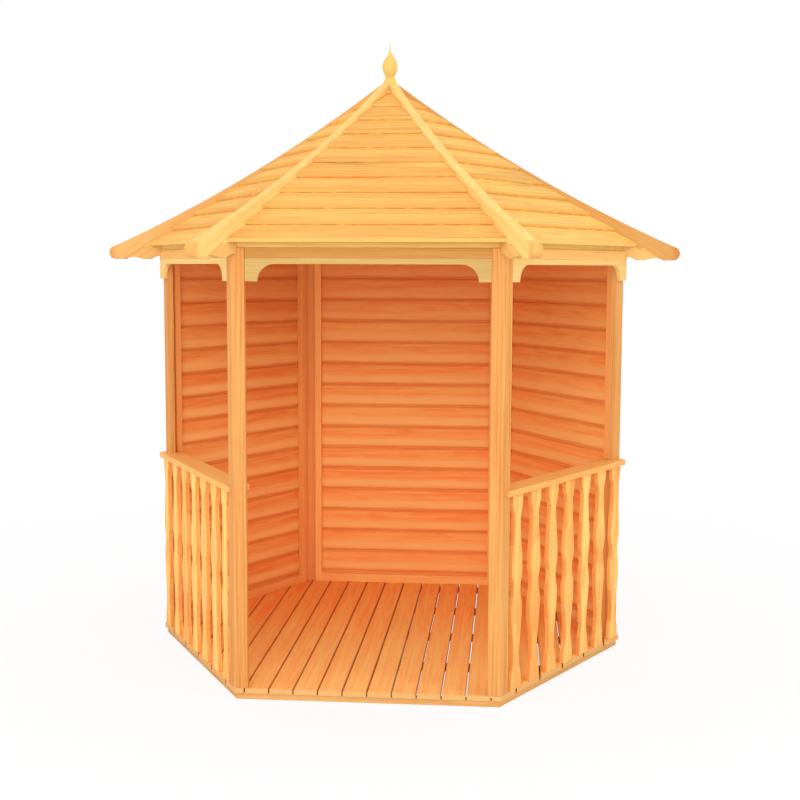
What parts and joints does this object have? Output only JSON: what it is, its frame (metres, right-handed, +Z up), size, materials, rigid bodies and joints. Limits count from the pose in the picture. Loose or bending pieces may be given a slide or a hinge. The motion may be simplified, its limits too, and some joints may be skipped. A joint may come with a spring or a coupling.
{
  "type": "garden arbor",
  "caption": "Hexagonal timber garden arbor with an open front, railed sides, boarded rear walls and a pointed board roof.",
  "frame": {"origin": "on the ground, at the centre of the six-sided plan", "axes": "+Z up, the open front faces -Y, +X to the right of someone facing the doorway"},
  "size_m": [2.6238, 2.2944, 2.7608],
  "materials": {
    "frame_timber": "planed softwood with a light honey stain",
    "planed_trim": "planed softwood with a light honey stain",
    "wall_boards": "lapped softwood boards with a honey stain",
    "floor_boards": "softwood deck boards with a honey stain",
    "roof_boards": "lapped softwood boards with a honey stain"
  },
  "bodies": {
    "root": {"bearers_a": "frame_timber", "bearers_b": "frame_timber", "joists": "frame_timber", "floor_boards": "floor_boards", "post_front_left": "frame_timber", "post_front_right": "frame_timber", "post_left": "frame_timber", "post_right": "frame_timber", "post_back_left": "frame_timber", "post_back_right": "frame_timber", "plate_front": "frame_timber", "plates_side": "frame_timber", "header_front": "frame_timber", "header_left": "frame_timber", "header_right": "frame_timber", "valance_front": "frame_timber", "valance_left": "frame_timber", "valance_right": "frame_timber", "eaves_boards_front": "frame_timber", "eaves_boards_back": "frame_timber", "balusters_left": "planed_trim", "balusters_right": "planed_trim", "handrail_left": "frame_timber", "handrail_right": "frame_timber", "frame_back": "frame_timber", "frame_back_left": "frame_timber", "frame_back_right": "frame_timber", "cladding_back": "wall_boards", "cladding_back_left": "wall_boards", "cladding_back_right": "wall_boards", "roof_front": "roof_boards", "roof_front_left": "roof_boards", "roof_front_right": "roof_boards", "roof_back": "roof_boards", "roof_back_left": "roof_boards", "roof_back_right": "roof_boards", "hip_rafters_front": "frame_timber", "hip_rafters_side": "frame_timber", "hip_rafters_back": "frame_timber", "hip_caps_front": "planed_trim", "hip_caps_side": "planed_trim", "hip_caps_back": "planed_trim", "king_block": "frame_timber", "finial": "planed_trim"}
  },
  "joints": []
}
